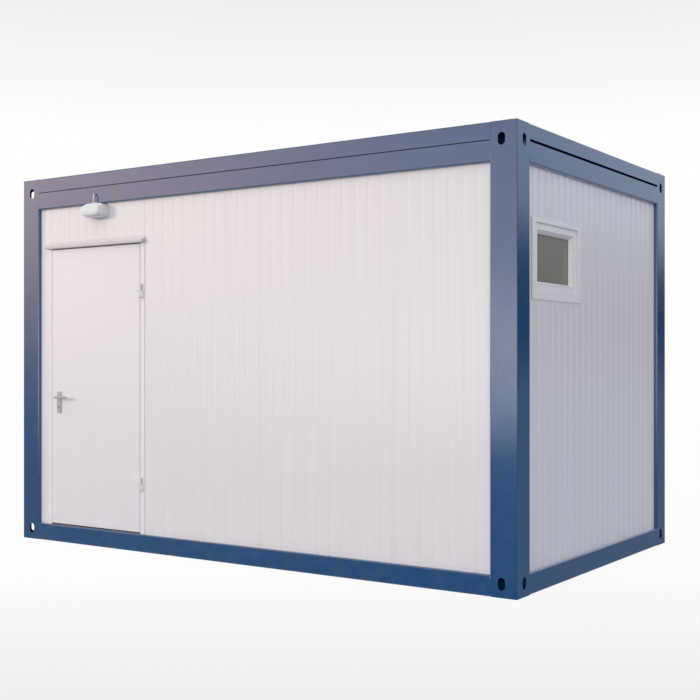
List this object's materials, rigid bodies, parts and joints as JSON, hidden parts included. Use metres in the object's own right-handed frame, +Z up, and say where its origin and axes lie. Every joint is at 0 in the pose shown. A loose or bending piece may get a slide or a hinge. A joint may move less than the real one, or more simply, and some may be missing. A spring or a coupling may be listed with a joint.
{
  "type": "shipping container cabin",
  "caption": "Flat-roofed site cabin with a blue steel frame, corner blocks with long holes, white ribbed panel walls, a hinged door with a lever handle, a small window and a wall lamp.",
  "frame": {"origin": "plan centre of the steel frame on the ground, which is the underside of the middle floor joist", "axes": "+X along the door wall from the door end to the window end, -Y out of the door wall, +Z up"},
  "size_m": [4, 2.47, 2.62],
  "materials": {
    "frame_blue": "glossy enamel on pressed steel",
    "joist_steel": "dull primer",
    "galvanised_sheet": "galvanised",
    "floor_vinyl": "vinyl floor covering on board",
    "panel_white": "coil-coated ribbed steel",
    "ceiling_white": "coil-coated flat steel",
    "door_white": "smooth powder coat",
    "hinge_metal": "painted steel",
    "handle_metal": "brushed, slightly warm",
    "cylinder_metal": "plain",
    "rail_white": "coil-coated",
    "window_white": "satin PVC",
    "window_glass": "obscured",
    "lamp_white": "satin",
    "lamp_glass": "opal",
    "lead_white": "lead sheath"
  },
  "bodies": {
    "cabin": {"floor_beam_front": "frame_blue", "floor_beam_back": "frame_blue", "floor_beam_left": "frame_blue", "floor_beam_right": "frame_blue", "bottom_corner_front_left": "frame_blue", "bottom_corner_front_right": "frame_blue", "bottom_corner_back_left": "frame_blue", "bottom_corner_back_right": "frame_blue", "floor_joists": "joist_steel", "floor_under_sheets": "galvanised_sheet", "floor_deck": "floor_vinyl", "corner_post_front_left": "frame_blue", "corner_post_front_right": "frame_blue", "corner_post_back_left": "frame_blue", "corner_post_back_right": "frame_blue", "roof_beam_front": "frame_blue", "roof_beam_back": "frame_blue", "roof_beam_left": "frame_blue", "roof_beam_right": "frame_blue", "top_corner_front_left": "frame_blue", "top_corner_front_right": "frame_blue", "top_corner_back_left": "frame_blue", "top_corner_back_right": "frame_blue", "roof_sheet": "galvanised_sheet", "ceiling_panel": "ceiling_white", "front_wall_left": "panel_white", "front_wall_over_door": "panel_white", "front_wall_right": "panel_white", "back_wall": "panel_white", "left_wall": "panel_white", "right_wall": "panel_white", "door_frame": "door_white", "hinge_frame_halves": "hinge_metal", "door_drip_rail": "rail_white", "window_trim": "window_white", "window_frame": "window_white", "window_sash": "window_white", "window_glass": "window_glass", "lamp_body": "lamp_white", "lamp_glass": "lamp_glass", "lamp_lead": "lead_white"},
    "door": {"door_leaf": "door_white", "hinge_leaf_halves": "hinge_metal", "handle_plates": "handle_metal", "lock_cylinder": "cylinder_metal"},
    "lever": {"door_lever": "handle_metal"}
  },
  "joints": [
    {"name": "door_hinge", "type": "hinge", "parent": "cabin", "child": "door", "pos_m": [-0.828, -1.192, 1.1], "axis": [0, 0, 1], "range_deg": [0, 170]},
    {"name": "door_lever_turn", "type": "hinge", "parent": "door", "child": "lever", "pos_m": [-1.6375, -1.157, 1.038], "axis": [0, 1, 0], "range_deg": [0, 40], "stiffness_Nm_per_rad": 1.2, "springref_deg": -34.38}
  ]
}
